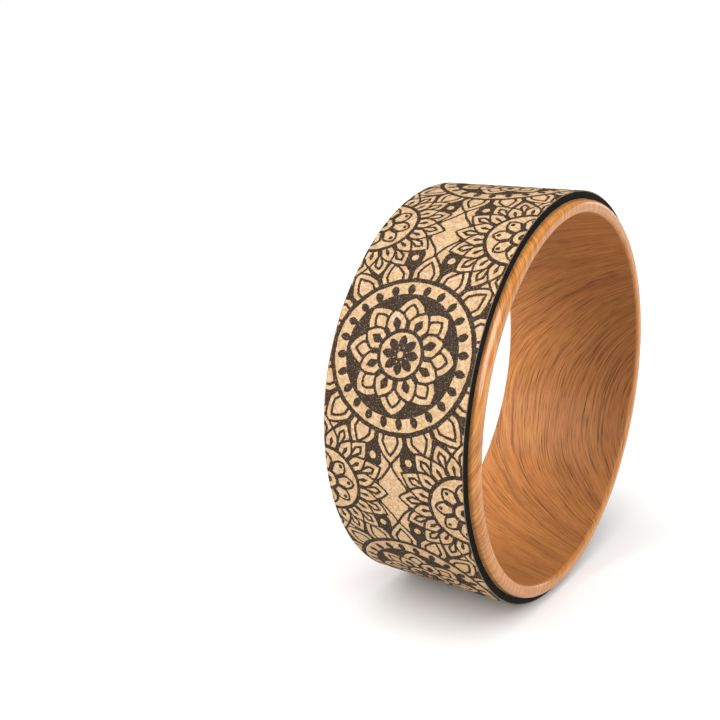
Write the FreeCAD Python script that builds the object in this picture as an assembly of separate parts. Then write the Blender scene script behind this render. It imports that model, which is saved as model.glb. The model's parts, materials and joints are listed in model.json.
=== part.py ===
"""Yoga wheel: a rigid hoop wrapped in a foam cushion and a thin cork cover.

The origin is the wheel's centre, its axis lies along Y, and Z points up as the wheel stands on its tread.
Sizes are in millimetres. Angles are in degrees, counted from the top of the wheel towards +X.
"""

import FreeCAD, Part
import math
import os

# Hoop: a thick moulded ring, its edges rounded over to a narrow flat land at each rim
bore_diameter = 287.0
hoop_wall = 10.1
hoop_width = 125.0
rim_land = 3.3

# Layers wrapped round the hoop, each set back from the edge of the one below it
glue_thickness = 0.1
bond_clearance = 0.1
foam_thickness = 5.3
foam_setback = 6.2
foam_edge_round = 0.6
cork_thickness = 0.5
cork_setback = 0.6

# Butt seam, where the two ends of the laminated foam and cork strip meet
seam_gap = 0.3
seam_angle = 115.0

CENTRE = FreeCAD.Vector(0, 0, 0)
AXIS = FreeCAD.Vector(0, 1, 0)
FULL_TURN = 360.0


def ring_section(inner_radius, outer_radius, width, inner_round=0.0, outer_round=0.0):
    """Face across one side of a ring, above its axis, with its inner and outer edges rounded over."""
    half = width / 2
    corners = [
        (FreeCAD.Vector(0, -half, inner_radius), inner_round),
        (FreeCAD.Vector(0, -half, outer_radius), outer_round),
        (FreeCAD.Vector(0, half, outer_radius), outer_round),
        (FreeCAD.Vector(0, half, inner_radius), inner_round),
    ]
    edges = []
    for index, (corner, size) in enumerate(corners):
        next_corner, next_size = corners[(index + 1) % len(corners)]
        back = (corners[index - 1][0] - corner).normalize()
        ahead = (next_corner - corner).normalize()
        if size > 0:
            middle = corner + (back + ahead) * size * (1 - math.sqrt(0.5))
            edges.append(Part.Arc(corner + back * size, middle, corner + ahead * size).toShape())
        edges.append(Part.LineSegment(corner + ahead * size, next_corner - ahead * next_size).toShape())
    return Part.Face(Part.Wire(edges))


def wrapped_strip(inner_radius, thickness, width, edge_round=0.0):
    """Strip bent once round the wheel, with its two ends butted at the seam."""
    section = ring_section(inner_radius, inner_radius + thickness, width, outer_round=edge_round)
    gap_angle = math.degrees(seam_gap / inner_radius)
    section.rotate(CENTRE, AXIS, seam_angle + gap_angle / 2)
    return section.revolve(CENTRE, AXIS, FULL_TURN - gap_angle)


# Radii of the stack, from the bore outwards
bore_radius = bore_diameter / 2
hoop_radius = bore_radius + hoop_wall
hoop_glue_radius = hoop_radius + bond_clearance
foam_inner_radius = hoop_glue_radius + glue_thickness + bond_clearance
foam_radius = foam_inner_radius + foam_thickness
cork_glue_radius = foam_radius + bond_clearance
cork_inner_radius = cork_glue_radius + glue_thickness + bond_clearance

# Widths of the wrapped layers; each glue film is as wide as the strip that it holds
foam_width = hoop_width - 2 * foam_setback
cork_width = foam_width - 2 * cork_setback

# The hoop's moulding line lies under the seam of the strip
lip_round = (hoop_wall - rim_land) / 2
hoop_section = ring_section(bore_radius, hoop_radius, hoop_width, lip_round, lip_round)
hoop_section.rotate(CENTRE, AXIS, seam_angle)

pieces = {
    "hoop": hoop_section.revolve(CENTRE, AXIS, FULL_TURN),
    "hoop_adhesive": wrapped_strip(hoop_glue_radius, glue_thickness, foam_width),
    "foam_cushion": wrapped_strip(foam_inner_radius, foam_thickness, foam_width, foam_edge_round),
    "cork_adhesive": wrapped_strip(cork_glue_radius, glue_thickness, cork_width),
    "cork_cover": wrapped_strip(cork_inner_radius, cork_thickness, cork_width),
}

os.makedirs("parts", exist_ok=True)
for node, shape in pieces.items():
    shape.exportStep(f"parts/{node}.step")
    print(node, shape.ShapeType, shape.isValid(), round(shape.Volume / 1000, 2), "cm3")
print("outer diameter", round(2 * (cork_inner_radius + cork_thickness), 3))
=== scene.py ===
import json
import math

import bmesh
import bpy
from mathutils import Matrix, Vector


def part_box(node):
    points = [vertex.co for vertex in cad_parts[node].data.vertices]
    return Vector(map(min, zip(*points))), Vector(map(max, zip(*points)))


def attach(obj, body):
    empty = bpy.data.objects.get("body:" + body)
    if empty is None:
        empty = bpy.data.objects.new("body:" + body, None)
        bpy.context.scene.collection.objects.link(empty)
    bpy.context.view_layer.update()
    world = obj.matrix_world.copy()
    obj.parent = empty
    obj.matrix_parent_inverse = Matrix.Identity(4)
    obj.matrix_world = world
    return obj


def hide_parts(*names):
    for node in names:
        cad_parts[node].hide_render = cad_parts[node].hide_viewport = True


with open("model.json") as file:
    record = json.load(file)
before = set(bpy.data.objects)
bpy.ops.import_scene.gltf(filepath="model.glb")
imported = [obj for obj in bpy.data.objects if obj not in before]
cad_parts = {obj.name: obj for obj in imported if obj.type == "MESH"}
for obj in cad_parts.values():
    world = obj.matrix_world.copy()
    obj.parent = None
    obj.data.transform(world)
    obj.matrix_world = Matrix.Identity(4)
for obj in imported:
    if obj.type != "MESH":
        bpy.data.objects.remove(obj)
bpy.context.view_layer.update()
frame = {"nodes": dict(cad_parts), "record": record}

# Hoop
# The wheel's rigid core: a thick ring of moulded plastic, both edges rounded over into smooth lips.
# A wood grain is printed on it under a satin clear coat, with a paler print on the lips than on the wall.
mounts = {mount["name"]: mount["dims"] for mount in frame["record"]["mounts"]}
axle = Vector((0, 1, 0))
bore_radius = mounts["bore"]["r_mm"] / 1000
hoop_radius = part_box("hoop")[1].z
hoop_half_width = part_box("hoop")[1].y
lip_round = hoop_half_width - mounts["bore"]["length_mm"] / 2000
lip_segments = 12
wall_cuts = 14
turn_steps = 360
sharp_angle = math.radians(40)
merge_distance = 1e-6

# Map that a finish is baked through, in shares of its height and width
map_rows = 3
map_margin = 0.005
first_row = 0.01
row_pitch = 0.32
row_height = 0.305
strip_start = 0.97
strip_height = 0.02


def ring_section(inner_radius, outer_radius, half_width):
    """A bmesh with one face, the section of a ring above its axle, and that face's four corners."""
    section = bmesh.new()
    places = (
        (0, -half_width, inner_radius),
        (0, half_width, inner_radius),
        (0, half_width, outer_radius),
        (0, -half_width, outer_radius),
    )
    corners = [section.verts.new(place) for place in places]
    section.faces.new(corners)
    return section, corners


def round_over(section, corners, size, segments):
    """Rounds these corners of a section, and leaves only its outline, ready to be spun."""
    bmesh.ops.bevel(
        section,
        geom=corners,
        offset=size,
        offset_type="OFFSET",
        segments=segments,
        profile=0.5,
        affect="VERTICES",
        material=-1,
    )
    bmesh.ops.delete(section, geom=section.faces[:], context="FACES_ONLY")


def turns(place, start):
    """How far round the axle a place is from the start, in turns."""
    return (math.atan2(place.x, place.z) - start) / (2 * math.pi) % 1


def lay_out_map(shape, start, across, shown):
    """Gives a ring its map: the faces that show in long rows, and the others in a thin strip."""
    layer = shape.loops.layers.uv.new("OFBake")
    for face in shape.faces:
        middle = face.calc_center_median()
        middle_turn = turns(middle, start)
        row = int(middle_turn * map_rows)
        for loop in face.loops:
            place = loop.vert.co
            turn = turns(place, start)
            turn -= round(turn - middle_turn)
            if shown(middle):
                along_row = map_margin + (1 - 2 * map_margin) * (turn * map_rows - row)
                loop[layer].uv = (along_row, first_row + row_pitch * row + row_height * across(place))
            else:
                loop[layer].uv = (turn, strip_start + strip_height * across(place))


def finished_piece(name, shape, materials):
    """Makes an object of a bmesh, smooth apart from its sharp edges, that rides on the wheel."""
    bmesh.ops.remove_doubles(shape, verts=shape.verts[:], dist=merge_distance)
    bmesh.ops.recalc_face_normals(shape, faces=shape.faces[:])
    mesh = bpy.data.meshes.new(name)
    shape.to_mesh(mesh)
    shape.free()
    mesh.shade_smooth()
    mesh.set_sharp_from_angle(angle=sharp_angle)
    for material in materials:
        mesh.materials.append(material)
    piece = bpy.data.objects.new(name, mesh)
    bpy.context.scene.collection.objects.link(piece)
    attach(piece, "root")
    return piece


class Field:
    """A value that changes over a surface, wired from nodes, so that a pattern reads as arithmetic."""

    def __init__(self, tree, socket):
        self.tree = tree
        self.socket = socket

    def __add__(self, other):
        return compute(self.tree, "ADD", self, other)

    def __sub__(self, other):
        return compute(self.tree, "SUBTRACT", self, other)

    def __rsub__(self, other):
        return compute(self.tree, "SUBTRACT", other, self)

    def __mul__(self, other):
        return compute(self.tree, "MULTIPLY", self, other)

    def __truediv__(self, other):
        return compute(self.tree, "DIVIDE", self, other)

    def __rtruediv__(self, other):
        return compute(self.tree, "DIVIDE", other, self)

    def __abs__(self):
        return compute(self.tree, "ABSOLUTE", self)

    def below(self, limit, blur):
        """1 where the value is under the limit and 0 over it, with an edge this wide between them."""
        return compute(self.tree, "MULTIPLY_ADD", limit - self, 1 / blur, 0.5, clamp=True)

    def above(self, limit, blur):
        """1 where the value is over the limit and 0 under it, with an edge this wide between them."""
        return compute(self.tree, "MULTIPLY_ADD", self - limit, 1 / blur, 0.5, clamp=True)


def wire(tree, value, socket):
    """Feeds a socket from a field, another socket or a plain value."""
    if isinstance(value, Field):
        tree.links.new(value.socket, socket)
    elif isinstance(value, bpy.types.NodeSocket):
        tree.links.new(value, socket)
    else:
        socket.default_value = value


def compute(tree, operation, *values, clamp=False):
    """One step of arithmetic on fields and numbers."""
    step = tree.nodes.new("ShaderNodeMath")
    step.operation = operation
    step.use_clamp = clamp
    for value, socket in zip(values, step.inputs):
        wire(tree, value, socket)
    return Field(tree, step.outputs[0])


def hypotenuse(across, along):
    """Length of the slant between two fields at right angles."""
    return compute(across.tree, "SQRT", across * across + along * along)


def new_group(name, inputs, output):
    """A new shader group, its inputs as fields by their names, and the socket that takes its output."""
    group = bpy.data.node_groups.new(name, "ShaderNodeTree")
    for title in inputs:
        group.interface.new_socket(title, in_out="INPUT", socket_type="NodeSocketFloat")
    group.interface.new_socket(output, in_out="OUTPUT", socket_type="NodeSocketFloat")
    entry = group.nodes.new("NodeGroupInput")
    given = {socket.name: Field(group, socket) for socket in entry.outputs if socket.name}
    leave = group.nodes.new("NodeGroupOutput")
    return group, given, leave.inputs[output]


def place_group(tree, group, values):
    """Places a shader group in a tree, with values for its inputs by their names, and gives its output."""
    node = tree.nodes.new("ShaderNodeGroup")
    node.node_tree = group
    for title, value in values.items():
        wire(tree, value, node.inputs[title])
    return Field(tree, node.outputs[0])


def grain_group():
    """Shader group of soft noise from 0 to 1, one unit of its place to a blotch."""
    group, given, leave = new_group("grain", ("X", "Y", "Z", "Detail", "Roughness"), "Grain")
    place = group.nodes.new("ShaderNodeCombineXYZ")
    for title in ("X", "Y", "Z"):
        wire(group, given[title], place.inputs[title])
    cloud = group.nodes.new("ShaderNodeTexNoise")
    cloud.inputs["Scale"].default_value = 1.0
    wire(group, place.outputs["Vector"], cloud.inputs["Vector"])
    for title in ("Detail", "Roughness"):
        wire(group, given[title], cloud.inputs[title])
    wire(group, cloud.outputs["Fac"], leave)
    return group


grain = grain_group()


def grain_noise(tree, x, y, z, detail=2.0, roughness=0.5):
    """Grain over a surface, read at this place."""
    return place_group(tree, grain, {"X": x, "Y": y, "Z": z, "Detail": detail, "Roughness": roughness})


def even_noise(tree, place, scale, detail=2.0, roughness=0.5):
    """Grain that is alike in all directions, with so many blotches to a millimetre."""
    x, y, z = (axis * scale for axis in place)
    return grain_noise(tree, x, y, z, detail, roughness)


def surface_millimetres(tree):
    """X, Y and Z of the surface in the wheel's own frame, in millimetres."""
    place = tree.nodes.new("ShaderNodeTexCoord")
    split = tree.nodes.new("ShaderNodeSeparateXYZ")
    tree.links.new(place.outputs["Object"], split.inputs[0])
    return [Field(tree, socket) * 1000 for socket in split.outputs]


def colour_between(tree, share, low, high):
    """The colour that goes from low to high as the share goes from 0 to 1."""
    blend = tree.nodes.new("ShaderNodeMix")
    blend.data_type = "RGBA"
    wire(tree, share, blend.inputs[0])
    wire(tree, low, blend.inputs[6])
    wire(tree, high, blend.inputs[7])
    return blend.outputs[2]


def new_material(name):
    """A material, its node tree and its Principled shader."""
    material = bpy.data.materials.new(name)
    material.use_nodes = True
    return material, material.node_tree, material.node_tree.nodes["Principled BSDF"]


def raise_surface(tree, shader, height, distance, strength):
    """Gives a shader the relief of a height field, this many metres deep."""
    bump = tree.nodes.new("ShaderNodeBump")
    bump.inputs["Distance"].default_value = distance
    bump.inputs["Strength"].default_value = strength
    wire(tree, height, bump.inputs["Height"])
    tree.links.new(bump.outputs["Normal"], shader.inputs["Normal"])


def wood_grain_print():
    """Printed plain-sawn grain: growth layers slant across the film and draw nested arches on the wall."""
    heart_direction = math.radians(109.5)
    layer_slant = 1.6
    sway_mm = 14
    heart_edge_mm = -325
    heart_blur_mm = 140
    lip_start_mm = (hoop_half_width - lip_round) * 1000 + 2.2
    lip_blur_mm = 0.7
    wall_coat = 0.03
    lip_coat = 0.65
    dark_line = (0.095, 0.032, 0.010, 1)
    heart_wood = (0.250, 0.101, 0.038, 1)
    golden_wood = (0.505, 0.219, 0.064, 1)
    red_wood = (0.475, 0.182, 0.060, 1)
    lip_line = (0.140, 0.045, 0.010, 1)
    lip_dark = (0.290, 0.098, 0.019, 1)
    lip_light = (0.488, 0.214, 0.056, 1)

    material, tree, shader = new_material("wood_grain_print")
    shader.inputs["Coat Roughness"].default_value = 0.14
    shader.inputs["Specular IOR Level"].default_value = 0.05
    place = surface_millimetres(tree)
    x, y, z = place
    outward = x * math.sin(heart_direction) + z * math.cos(heart_direction)
    sideways = x * math.cos(heart_direction) - z * math.sin(heart_direction)
    past_wall = hypotenuse(x, z) - bore_radius * 1000
    film_y = y + compute(tree, "SIGN", y) * past_wall
    on_lip = abs(film_y).above(lip_start_mm, lip_blur_mm)

    # Growth layers, and the noise that is drawn out along them
    sway = even_noise(tree, place, 0.012, detail=1.0) - 0.5
    ripple = even_noise(tree, place, 0.06, detail=1.0) - 0.5
    bend = outward * 2 - outward * outward * outward / (3 * (bore_radius * 1000) ** 2)
    layer = film_y - bend * layer_slant + sway * sway_mm + ripple

    def drawn_out(across, along, detail, roughness=0.5):
        """Grain with so many blotches to a millimetre across the growth layers, and along them."""
        return grain_noise(tree, layer * across, film_y * along, sideways * along, detail, roughness)

    bands = drawn_out(0.05, 0.003, detail=1.0)
    lines = drawn_out(0.75, 0.016, detail=3.0, roughness=0.65)
    fibres = drawn_out(1.6, 0.05, detail=2.0, roughness=0.6)
    pores = drawn_out(1.4, 0.06, detail=2.0)
    warmth = drawn_out(0.03, 0.01, detail=1.0)
    broad_streaks = drawn_out(0.4, 0.05, detail=2.0)
    dark_share = lines.below(0.42, 0.20) * 0.6 + pores.above(0.60, 0.16) * 0.55

    # Satin wall, darker towards the heart of the board, with painted shade that darkens it towards the top
    # and lightens it towards the bottom
    heart_share = layer.below(heart_edge_mm, heart_blur_mm)
    # The sideways term is painted shade: it darkens the print towards the top of the wall and lightens it
    # towards the bottom
    blend = bands * 0.4 + lines * 0.5 + fibres * 0.6 + sideways * 0.0006 - heart_share * 0.15
    fresh_wood = colour_between(tree, warmth.above(0.5, 0.5), golden_wood, red_wood)
    wall = colour_between(tree, blend.above(0.6, 2 / 3), heart_wood, fresh_wood)
    wall = colour_between(tree, dark_share, wall, dark_line)

    # Paler lips, with short streaks across them under a glossier coat
    streaks = broad_streaks * 0.3 + lines * 0.3 + fibres * 0.4
    lip = colour_between(tree, streaks.above(0.5, 0.14), lip_dark, lip_light)
    lip = colour_between(tree, dark_share * 0.35, lip, lip_line)

    tree.links.new(colour_between(tree, on_lip, wall, lip), shader.inputs["Base Color"])
    wire(tree, on_lip * (lip_coat - wall_coat) + wall_coat, shader.inputs["Coat Weight"])
    wire(tree, 0.56 - lines * 0.14, shader.inputs["Roughness"])
    raise_surface(tree, shader, lines * 0.5 + fibres * 0.5, distance=0.00015, strength=0.2)
    return material


section, corners = ring_section(bore_radius, hoop_radius, hoop_half_width)
round_over(section, corners, lip_round, lip_segments)
straight_edges = [edge for edge in section.edges if edge.calc_length() > 4 * lip_round]
bmesh.ops.subdivide_edges(section, edges=straight_edges, cuts=wall_cuts)
bmesh.ops.spin(
    section,
    geom=section.verts[:] + section.edges[:],
    cent=(0, 0, 0),
    axis=axle,
    angle=2 * math.pi,
    steps=turn_steps,
    use_merge=True,
)
hoop_wrap = hoop_half_width + hoop_radius - bore_radius


def across_hoop(place):
    """Place across the printed film, from 0 at one edge of it to 1 at the other, round both lips."""
    past_wall = math.hypot(place.x, place.z) - bore_radius
    return 0.5 + (place.y + math.copysign(past_wall, place.y)) / (2 * hoop_wrap)


def inside_hoop(middle):
    """Whether a face is on the inner wall or a lip, not under the foam."""
    return math.hypot(middle.x, middle.z) < hoop_radius - lip_round / 20


lay_out_map(section, 0, across_hoop, inside_hoop)
hoop = finished_piece("hoop_wood_look", section, [wood_grain_print()])
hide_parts("hoop")

# Glue films
# Two thin coats of contact adhesive, brushed on before the foam and the cork are wrapped round.
# They are sealed between the layers, and only their edges could show, at the rims and in the seam.


def dried_glue():
    """Straw-coloured adhesive, a little uneven where it was brushed."""
    thin_glue = (0.56, 0.44, 0.25, 1)
    thick_glue = (0.40, 0.29, 0.14, 1)
    material, tree, shader = new_material("dried_glue")
    x, y, z = surface_millimetres(tree)
    streaks = grain_noise(tree, x * 0.4, y * 0.08, z * 0.4, detail=3.0)
    tree.links.new(colour_between(tree, streaks, thin_glue, thick_glue), shader.inputs["Base Color"])
    wire(tree, streaks * 0.3 + 0.3, shader.inputs["Roughness"])
    raise_surface(tree, shader, streaks, distance=0.00005, strength=0.5)
    return material


glue = dried_glue()
for film in ("hoop_adhesive", "cork_adhesive"):
    frame["nodes"][film].data.materials.clear()
    frame["nodes"][film].data.materials.append(glue)

# Foam cushion
# A strip of black closed-cell foam, wrapped once round the hoop and glued, its two ends butted.
# Only its edges show, as a soft black line between each lip and the cork.
bond_clearance = 0.0001
foam_half_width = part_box("foam_cushion")[1].y
foam_outer_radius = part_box("foam_cushion")[1].z
foam_inner_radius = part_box("hoop_adhesive")[1].z + bond_clearance
foam_edge_round = 0.0006
foam_edge_segments = 4
seam_angle = math.radians(115)
seam_gap = 0.0003


def wrap_round(section, radius):
    """Spins a section's outline once round the axle, from end to end of the strip, and caps both ends."""
    gap_angle = seam_gap / radius
    bmesh.ops.rotate(
        section,
        verts=section.verts[:],
        cent=(0, 0, 0),
        matrix=Matrix.Rotation(seam_angle + gap_angle / 2, 3, axle),
    )
    bmesh.ops.spin(
        section,
        geom=section.verts[:] + section.edges[:],
        cent=(0, 0, 0),
        axis=axle,
        angle=2 * math.pi - gap_angle,
        steps=turn_steps,
    )
    bmesh.ops.holes_fill(section, edges=section.edges[:], sides=0)


def black_foam():
    """Matte black foam with fine closed cells and a faint grey bloom."""
    deep_black = (0.003, 0.0028, 0.0026, 1)
    worn_black = (0.011, 0.0105, 0.010, 1)
    material, tree, shader = new_material("black_foam")
    shader.inputs["Specular IOR Level"].default_value = 0.07
    place = surface_millimetres(tree)
    cells = even_noise(tree, place, 2.2, detail=3.0, roughness=0.7)
    bloom = even_noise(tree, place, 0.12)
    shade = (cells * 0.6 + bloom * 0.6).above(0.6, 0.5)
    tree.links.new(colour_between(tree, shade, deep_black, worn_black), shader.inputs["Base Color"])
    wire(tree, cells * 0.2 + 0.76, shader.inputs["Roughness"])
    raise_surface(tree, shader, cells, distance=0.0003, strength=0.6)
    return material


section, corners = ring_section(foam_inner_radius, foam_outer_radius, foam_half_width)
round_over(section, corners[2:], foam_edge_round, foam_edge_segments)
wrap_round(section, foam_inner_radius)
foam = finished_piece("foam_strip", section, [black_foam()])
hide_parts("foam_cushion")

# Cork cover
# A thin sheet of pressed cork granules, glued round the foam with its ends butted at the same seam.
# It is screen printed in charcoal ink with a row of petal rosettes, and half rosettes along both edges.
tread_radius = mounts["tread"]["r_mm"] / 1000
cork_half_width = mounts["tread"]["length_mm"] / 2000
cork_inner_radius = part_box("cork_adhesive")[1].z + bond_clearance
cork_edge_round = 0.00025
cork_edge_segments = 3
cut_edge_spread = 4
rosette_count = 5
rosette_shift = 0.444
ink_blur = 0.14


def petal_ring_group():
    """Shader group that lays a ring of pointed petals over the ink below, all sizes in millimetres."""
    layout = ("Ink", "Radius", "Angle", "Count", "Shift")
    sizes = ("Root", "Tip", "Half width", "Line", "Gap", "Fine line", "Core", "Seed place", "Seed size")
    group, given, leave = new_group("petal_ring", layout + sizes, "Ink")
    radius = given["Radius"]

    step = 2 * math.pi / given["Count"]
    turn = (compute(group, "FRACT", given["Angle"] / step + given["Shift"]) - 0.5) * step
    half_length = (given["Tip"] - given["Root"]) * 0.5
    half_width = given["Half width"]
    along = radius * compute(group, "COSINE", turn) - given["Root"] - half_length
    across = abs(radius * compute(group, "SINE", turn))
    arc = (half_length * half_length + half_width * half_width) / (half_width * 2)
    almond = hypotenuse(across + arc - half_width, along) - arc
    neighbour = radius * compute(group, "SINE", abs(turn) - step * 0.5)
    rim = compute(group, "MAXIMUM", almond, neighbour)

    outline = rim.above(given["Line"] * -1, ink_blur)
    fine_line = abs(rim + given["Gap"]).below(given["Fine line"] * 0.5, ink_blur)
    core = (rim + given["Core"]).below(0, ink_blur)
    seed = hypotenuse(across, along - given["Seed place"]).below(given["Seed size"], ink_blur)
    drawn = compute(group, "MAXIMUM", compute(group, "MAXIMUM", outline, fine_line), core)
    ink = given["Ink"] + (abs(drawn - seed) - given["Ink"]) * almond.below(0, ink_blur)
    wire(group, ink, leave)
    return group


def rosette_print(tree, place):
    """Ink of the print, from 0 to 1: rosettes along the middle of the strip, and half ones on its edges."""
    inked = 1
    bare = 0
    waver_mm = 1.6
    tooth_mm = 1.1
    nowhere_mm = 999.0
    left_out = {"gap": nowhere_mm, "core": nowhere_mm, "seed_place": nowhere_mm}
    pitch_mm = 2 * math.pi * tread_radius * 1000 / rosette_count
    petal_ring = petal_ring_group()

    # Place on the strip, unsteady as a hand-cut stencil and ragged where the ink meets the grains
    x, y, z = place
    turn = compute(tree, "ARCTAN2", x, z) * (rosette_count / (2 * math.pi)) + rosette_shift
    waver_across = even_noise(tree, place, 0.09) - 0.5
    waver_along = grain_noise(tree, y * 0.10, z * 0.10, x * 0.10) - 0.5
    tooth = even_noise(tree, place, 0.9, detail=1.0) - 0.5
    across_strip = y + waver_across * waver_mm + tooth * tooth_mm
    along_strip = (compute(tree, "FRACT", turn) - 0.5) * pitch_mm + waver_along * waver_mm - tooth * tooth_mm

    def petals(ink, count, **sizes):
        """Lays a ring of petals over the ink, round the centre that radius and angle are measured at."""
        values = {"ink": ink, "radius": radius, "angle": angle, "count": count} | left_out | sizes
        titles = {name.replace("_", " ").capitalize(): value for name, value in values.items()}
        return place_group(tree, petal_ring, titles)

    def disc(ink, size, drawn):
        """Lays a plain disc over the ink, inked or bare, round the same centre."""
        return ink + (drawn - ink) * radius.below(size, ink_blur)

    # Full rosette in the middle of the strip, drawn from its outer petals inwards
    radius = hypotenuse(along_strip, across_strip)
    angle = compute(tree, "ARCTAN2", across_strip, along_strip)
    ink = petals(inked, 16, root=40, tip=124, half_width=20, shift=0.5, line=1.9, gap=6.6, fine_line=1.9)
    ink = petals(ink, 16, root=30, tip=99, half_width=17, line=1.9, core=7.6, seed_place=9, seed_size=2.6)
    ink = petals(ink, 16, root=24, tip=77, half_width=13.5, shift=0.5, line=1.9, gap=5.6, fine_line=2.0)
    ink = disc(ink, 56, inked)
    ink = disc(ink, 52.4, bare)
    ink = petals(ink, 24, root=42.5, tip=51, half_width=2.8, line=9)
    ink = disc(ink, 43.5, inked)
    ink = petals(ink, 8, root=6, tip=42.6, half_width=13, shift=0.5, line=1.9, gap=6.4, fine_line=2.0)
    ink = petals(ink, 8, root=4, tip=34, half_width=9.6, line=2.0, core=5.6)
    ink = disc(ink, 18.2, inked)
    ink = disc(ink, 15.4, bare)
    ink = petals(ink, 8, root=3.5, tip=14, half_width=3.2, shift=0.5, line=9)
    ink = disc(ink, 4.6, inked)
    ink = disc(ink, 2.3, bare)

    # Half rosettes along both edges, between the full ones
    edge_along = pitch_mm / 2 - abs(along_strip)
    edge_across = cork_half_width * 1000 - abs(across_strip)
    radius = hypotenuse(edge_along, edge_across)
    angle = compute(tree, "ARCTAN2", edge_across, edge_along)
    ink = petals(ink, 16, root=10, tip=52, half_width=10.5, shift=0.5, line=1.8, gap=5.4, fine_line=2.0)
    ink = petals(ink, 16, root=6, tip=43, half_width=8.2, line=1.8, core=4.8)
    ink = disc(ink, 28, inked)
    ink = disc(ink, 25, bare)
    ink = petals(ink, 8, root=4, tip=23, half_width=6.4, shift=0.5, line=1.9, seed_place=4.4, seed_size=1.6)
    ink = disc(ink, 9.4, inked)
    ink = disc(ink, 6.6, bare)
    return disc(ink, 3.2, inked)


def printed_cork():
    """Pressed cork granules under a charcoal print that is a little worn through on the high grains."""
    granules_per_metre = 700.0
    honey_cork = (0.537, 0.356, 0.158, 1)
    rosy_cork = (0.470, 0.342, 0.262, 1)
    warm_cork = (0.350, 0.218, 0.106, 1)
    brown_fleck = (0.180, 0.088, 0.038, 1)
    charcoal = (0.010, 0.006, 0.004, 1)
    rubbed_charcoal = (0.050, 0.034, 0.024, 1)

    material, tree, shader = new_material("printed_cork")
    shader.inputs["Specular IOR Level"].default_value = 0.04
    place = surface_millimetres(tree)
    x, y, z = place

    # Granules, each of a shade of its own, with a blush, mottling and brown flecks over them
    granules = tree.nodes.new("ShaderNodeTexVoronoi")
    granules.inputs["Scale"].default_value = granules_per_metre
    surface = tree.nodes.new("ShaderNodeTexCoord")
    tree.links.new(surface.outputs["Object"], granules.inputs["Vector"])
    shades = tree.nodes.new("ShaderNodeSeparateColor")
    tree.links.new(granules.outputs["Color"], shades.inputs[0])
    granule = Field(tree, shades.outputs[0])
    mottle = even_noise(tree, place, 0.9, detail=3.0, roughness=0.65)
    cloud = even_noise(tree, place, 0.06)
    flecks = grain_noise(tree, x * 0.55, y * 0.75, z * 0.55)
    blush = grain_noise(tree, x * 0.40, z * 0.40, y * 0.40)
    tone = (granule * 0.9 + mottle * 0.5 + cloud * 0.2).above(0.836, 0.714)
    pale_cork = colour_between(tree, blush.above(0.5, 0.3), honey_cork, rosy_cork)
    cork = colour_between(tree, tone, pale_cork, warm_cork)
    cork = colour_between(tree, flecks.above(0.66, 0.07) * 0.55, cork, brown_fleck)

    # The print, worn through in pinholes and on the highest grains
    pinholes = even_noise(tree, place, 1.6, detail=1.0)
    worn = compute(tree, "MAXIMUM", mottle.above(0.68, 0.05), pinholes.above(0.69, 0.05)) * 0.8
    covered = rosette_print(tree, place) * (1 - worn)
    ink_colour = colour_between(tree, mottle.above(0.5, 0.5), charcoal, rubbed_charcoal)
    tree.links.new(colour_between(tree, covered, cork, ink_colour), shader.inputs["Base Color"])
    wire(tree, 0.86 - covered * 0.16, shader.inputs["Roughness"])
    relief = mottle * 0.7 + granule * 0.3 + covered * 0.15
    raise_surface(tree, shader, relief, distance=0.00025, strength=0.35)
    return material


def cut_cork_painted_shade():
    """Bare cork where the sheet was cut, painted dark to stand in for the shade at the rims."""
    # Both crumb colours are painted shade, far darker than the cork's own colour
    pale_shaded_crumb = (0.16, 0.10, 0.06, 1)
    dark_shaded_crumb = (0.05, 0.03, 0.02, 1)
    material, tree, shader = new_material("cut_cork_painted_shade")
    crumbs = even_noise(tree, surface_millimetres(tree), 1.3, detail=4.0, roughness=0.7)
    colour = colour_between(tree, crumbs.above(0.5, 0.35), pale_shaded_crumb, dark_shaded_crumb)
    tree.links.new(colour, shader.inputs["Base Color"])
    wire(tree, crumbs * 0.2 + 0.75, shader.inputs["Roughness"])
    raise_surface(tree, shader, crumbs, distance=0.0004, strength=0.7)
    return material


section, corners = ring_section(cork_inner_radius, tread_radius, cork_half_width)
round_over(section, corners[2:], cork_edge_round, cork_edge_segments)
wrap_round(section, cork_inner_radius)
# Faces off the tread take the cut-edge finish, which is painted dark as shade
for face in section.faces:
    middle = face.calc_center_median()
    on_tread = math.hypot(middle.x, middle.z) > tread_radius - cork_edge_round / 4
    face.material_index = 0 if on_tread else 1
cork_wrap = cork_half_width + cut_edge_spread * (tread_radius - cork_inner_radius)


def across_cork(place):
    """Place across the sheet, from 0 to 1, with its thin cut edges spread out."""
    below_tread = cut_edge_spread * (tread_radius - math.hypot(place.x, place.z))
    return 0.5 + (place.y + math.copysign(below_tread, place.y)) / (2 * cork_wrap)


def outside_cork(middle):
    """Whether a face is on the tread or a cut edge, not against the glue."""
    return math.hypot(middle.x, middle.z) > cork_inner_radius + cork_edge_round / 20


lay_out_map(section, seam_angle, across_cork, outside_cork)
cork = finished_piece("cork_sheet", section, [printed_cork(), cut_cork_painted_shade()])
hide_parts("cork_cover")

# Floor, light and camera
# A pale studio floor that runs out to white, a broad softbox on the left and a weaker one in front,
# and three white cards that only glint. The floor has a lamp of its own, so that its shadow stays small.
# The camera stands where the photograph was taken from, with the wheel right of the middle of its frame.
floor_size = 12.0
room_light = 0.15
backdrop_light = 1.0
white = (1, 1, 1, 1)
view_azimuth = -55.289
view_elevation = 15.156
view_distance = 0.79941
aim_right = -0.11142
aim_up = 0.02258
photo_width_px = 720
focal_px = 995.5
sensor_mm = 36.0


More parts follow.
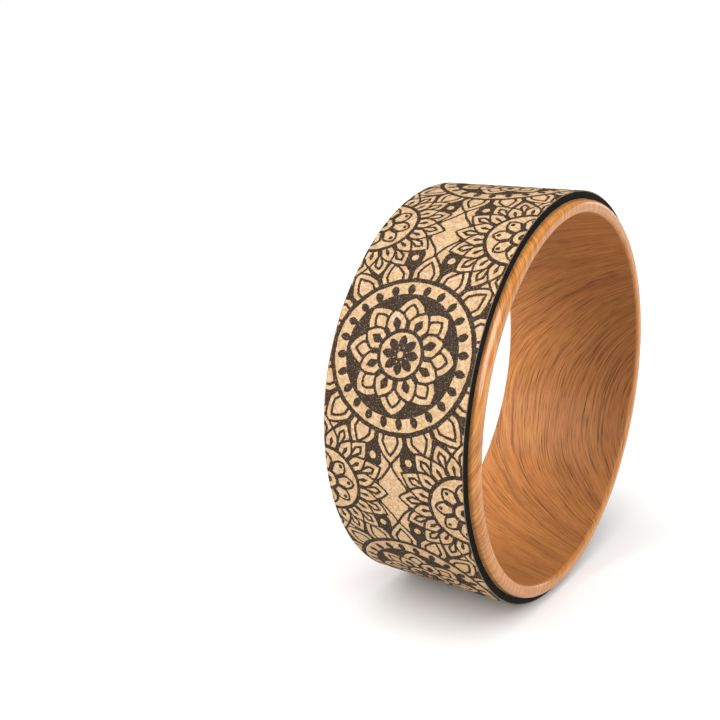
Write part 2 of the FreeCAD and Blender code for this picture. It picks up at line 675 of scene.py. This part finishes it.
def studio_floor():
    """Matte white sweep with a barely uneven coat of paint."""
    bright_paint = (0.93, 0.93, 0.93, 1)
    dull_paint = (0.90, 0.90, 0.90, 1)
    material, tree, shader = new_material("studio_floor")
    shader.inputs["Roughness"].default_value = 0.9
    shader.inputs["Specular IOR Level"].default_value = 0.0
    patches = even_noise(tree, surface_millimetres(tree), 0.004)
    tree.links.new(colour_between(tree, patches, bright_paint, dull_paint), shader.inputs["Base Color"])
    return material


floor_shape = bmesh.new()
bmesh.ops.create_grid(floor_shape, x_segments=1, y_segments=1, size=floor_size / 2)
bmesh.ops.translate(floor_shape, verts=floor_shape.verts[:], vec=(0, 0, -tread_radius))
floor_mesh = bpy.data.meshes.new("studio_floor")
floor_shape.to_mesh(floor_mesh)
floor_shape.free()
floor_mesh.materials.append(studio_floor())
floor = bpy.data.objects.new("studio_floor", floor_mesh)
bpy.context.scene.collection.objects.link(floor)


def toward(azimuth, elevation):
    """Direction from the wheel to a lamp or camera, in degrees round from its front and up from level."""
    turn = math.radians(azimuth)
    height = math.radians(elevation)
    return Vector((math.sin(turn) * math.cos(height), -math.cos(turn) * math.cos(height), math.sin(height)))


def soft_light(name, azimuth, elevation, spread, energy, lights_floor=False, card=False):
    """A broad lamp that lights the wheel or the floor, or a card that only shows as a glint on the wheel."""
    lamp = bpy.data.lights.new(name, "SUN")
    lamp.energy = energy
    lamp.angle = math.radians(spread)
    holder = bpy.data.objects.new(name, lamp)
    holder.rotation_euler = toward(azimuth, elevation).to_track_quat("Z", "Y").to_euler()
    holder.visible_diffuse = not card
    holder.visible_glossy = card
    bpy.context.scene.collection.objects.link(holder)
    reach = bpy.data.collections.new(name)
    reach.objects.link(floor)
    reach.collection_objects[0].light_linking.link_state = "INCLUDE" if lights_floor else "EXCLUDE"
    holder.light_linking.receiver_collection = reach


soft_light("key", azimuth=-109, elevation=38, spread=44, energy=5.0)
soft_light("front_fill", azimuth=15, elevation=31, spread=60, energy=3.75)
soft_light("floor_wash", azimuth=-70, elevation=55, spread=100, energy=4.9, lights_floor=True)
soft_light("left_card", azimuth=-102, elevation=36, spread=50, energy=5.4, card=True)
soft_light("near_card", azimuth=-54, elevation=31, spread=50, energy=4.2, card=True)
soft_light("right_card", azimuth=76, elevation=2, spread=22, energy=0.35, card=True)

world = bpy.data.worlds.new("white_studio")
world.use_nodes = True
studio = world.node_tree
seen = studio.nodes.new("ShaderNodeLightPath")
strength = studio.nodes.new("ShaderNodeMapRange")
strength.inputs["To Min"].default_value = room_light
strength.inputs["To Max"].default_value = backdrop_light
studio.links.new(seen.outputs["Is Camera Ray"], strength.inputs["Value"])
studio.links.new(strength.outputs[0], studio.nodes["Background"].inputs["Strength"])
studio.nodes["Background"].inputs["Color"].default_value = white
bpy.context.scene.world = world
bpy.context.scene.view_settings.view_transform = "Standard"

backward = toward(view_azimuth, view_elevation)
rightward = Vector((0, 0, 1)).cross(backward).normalized()
upward = backward.cross(rightward)
camera_place = backward * view_distance + rightward * aim_right + upward * aim_up
camera_turn = Matrix((rightward, upward, backward)).transposed().to_4x4()
lens = bpy.data.cameras.new("photo_camera")
lens.sensor_width = sensor_mm
lens.lens = sensor_mm * focal_px / photo_width_px
camera = bpy.data.objects.new("photo_camera", lens)
camera.matrix_world = Matrix.Translation(camera_place) @ camera_turn
bpy.context.scene.collection.objects.link(camera)
bpy.context.scene.camera = camera
